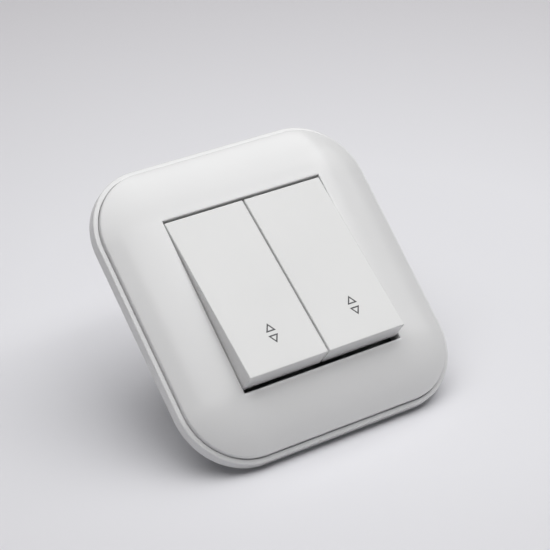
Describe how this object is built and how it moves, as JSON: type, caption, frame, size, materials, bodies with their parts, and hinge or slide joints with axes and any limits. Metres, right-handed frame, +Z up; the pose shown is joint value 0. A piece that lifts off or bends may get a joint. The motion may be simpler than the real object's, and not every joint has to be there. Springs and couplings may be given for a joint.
{
  "type": "two-way light switch",
  "caption": "Flush wall switch with side-by-side rocker keys in a domed square frame, changeover contacts, screw terminals and claws behind.",
  "frame": {"origin": "centre of the wall plane, midway between the two box-screw holes, at the rear of the mounting plate", "axes": "+X to the right as seen from the room, +Y back into the wall, +Z up; the keys face -Y"},
  "size_m": [0.082, 0.034, 0.082],
  "materials": {
    "white_gloss": "glossy white moulded plastic",
    "white_satin": "satin white moulded plastic",
    "plate_steel": "zinc-plated pressed steel",
    "cage_steel": "nickel-plated folded steel",
    "screw_steel": "zinc-plated turned steel",
    "claw_steel": "zinc-plated folded steel",
    "spring_steel": "drawn spring wire",
    "contact_brass": "stamped brass strip",
    "contact_silver": "silver alloy rivet",
    "grey_plastic": "pale grey moulded plastic",
    "housing_plastic": "heat-resistant moulded plastic",
    "plunger_plastic": "natural acetal"
  },
  "bodies": {
    "root": {"front_frame": "white_gloss", "rear_rim": "white_gloss", "mounting_plate": "plate_steel", "middle_cover": "grey_plastic", "housing": "housing_plastic", "terminal_cages": "cage_steel", "terminal_screws": "screw_steel", "cover_screws": "screw_steel", "left_fixed_tips": "contact_silver", "right_fixed_tips": "contact_silver", "left_common_terminal": "contact_brass", "right_common_terminal": "contact_brass", "left_upper_contact": "contact_brass", "right_upper_contact": "contact_brass", "left_lower_contact": "contact_brass", "right_lower_contact": "contact_brass"},
    "left_rocker": {"left_rocker_key": "white_satin", "left_tumbler": "grey_plastic", "left_coil_spring": "spring_steel"},
    "right_rocker": {"right_rocker_key": "white_satin", "right_tumbler": "grey_plastic", "right_coil_spring": "spring_steel"},
    "left_plunger": {"left_plunger": "plunger_plastic"},
    "right_plunger": {"right_plunger": "plunger_plastic"},
    "left_contact": {"left_contact_lever": "contact_brass", "left_moving_tips": "contact_silver"},
    "right_contact": {"right_contact_lever": "contact_brass", "right_moving_tips": "contact_silver"},
    "left_claw": {"left_claw": "claw_steel", "left_claw_screw": "screw_steel"},
    "right_claw": {"right_claw": "claw_steel", "right_claw_screw": "screw_steel"}
  },
  "joints": [
    {"name": "left_rocker_tilt", "type": "hinge", "parent": "root", "child": "left_rocker", "pos_m": [-0.0121, -0.0053, 0], "axis": [1, 0, 0], "range_deg": [0, 12.8]},
    {"name": "right_rocker_tilt", "type": "hinge", "parent": "root", "child": "right_rocker", "pos_m": [0.0121, -0.0053, 0], "axis": [1, 0, 0], "range_deg": [0, 12.8]},
    {"name": "left_contact_rock", "type": "hinge", "parent": "root", "child": "left_contact", "pos_m": [-0.0121, 0.008, 0], "axis": [1, 0, 0], "range_deg": [-16, 0]},
    {"name": "right_contact_rock", "type": "hinge", "parent": "root", "child": "right_contact", "pos_m": [0.0121, 0.008, 0], "axis": [1, 0, 0], "range_deg": [-16, 0]},
    {"name": "left_plunger_slide", "type": "slide", "parent": "left_rocker", "child": "left_plunger", "axis": [0, -0.9938, 0.1115], "range_m": [0, 0.00025], "stiffness_N_per_m": 200, "springref_m": -0.0015},
    {"name": "right_plunger_slide", "type": "slide", "parent": "right_rocker", "child": "right_plunger", "axis": [0, -0.9938, 0.1115], "range_m": [0, 0.00025], "stiffness_N_per_m": 200, "springref_m": -0.0015},
    {"name": "left_claw_spread", "type": "hinge", "parent": "root", "child": "left_claw", "pos_m": [-0.0265, -0.0006, 0], "axis": [0, 0, 1], "range_deg": [0, 12]},
    {"name": "right_claw_spread", "type": "hinge", "parent": "root", "child": "right_claw", "pos_m": [0.0265, -0.0006, 0], "axis": [0, 0, -1], "range_deg": [0, 12]}
  ],
  "couplings": [
    {"joint": "left_contact_rock", "follows": "left_rocker_tilt", "ratio": -1.25},
    {"joint": "right_contact_rock", "follows": "right_rocker_tilt", "ratio": -1.25}
  ]
}
